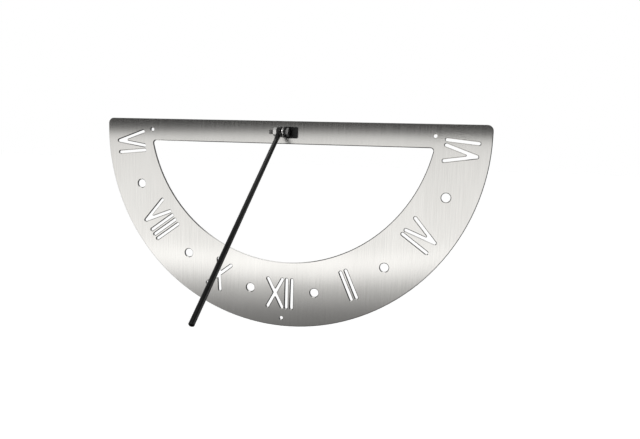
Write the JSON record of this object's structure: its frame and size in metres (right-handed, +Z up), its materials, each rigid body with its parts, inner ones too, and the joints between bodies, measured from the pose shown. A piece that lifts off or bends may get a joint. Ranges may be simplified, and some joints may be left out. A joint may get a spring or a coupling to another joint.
{
  "type": "vertical wall sundial",
  "caption": "Half-round wall sundial: a flat cut-out dial plate with Roman hour numerals and a folding shadow rod on a bolted pivot.",
  "frame": {"origin": "back face of the dial plate, midway between the two upper fixing holes, which is the centre of the dial's outer arc", "axes": "+Z up along the wall, +X to the right as the dial is read, -Y out of the wall towards the reader"},
  "size_m": [0.7, 0.3564, 0.37],
  "materials": {
    "brushed_plate": "stainless steel sheet, brushed top to bottom, square laser-cut edges",
    "fastener_steel": "bright stainless steel fasteners",
    "satin_black": "satin black coated steel: the round bar of the rod, the bent strip of the bracket and its two screws"
  },
  "bodies": {
    "dial": {"dial_plate": "brushed_plate", "gnomon_bracket": "satin_black", "bracket_screws": "satin_black", "pivot_bolt": "fastener_steel", "spacer_bush": "fastener_steel", "pivot_nut": "fastener_steel"},
    "gnomon": {"gnomon_rod": "satin_black"}
  },
  "joints": [
    {"name": "gnomon_tilt", "type": "hinge", "parent": "dial", "child": "gnomon", "pos_m": [-0.0061, -0.018, 0], "axis": [-1, 0, 0], "range_deg": [-54, 36]}
  ]
}
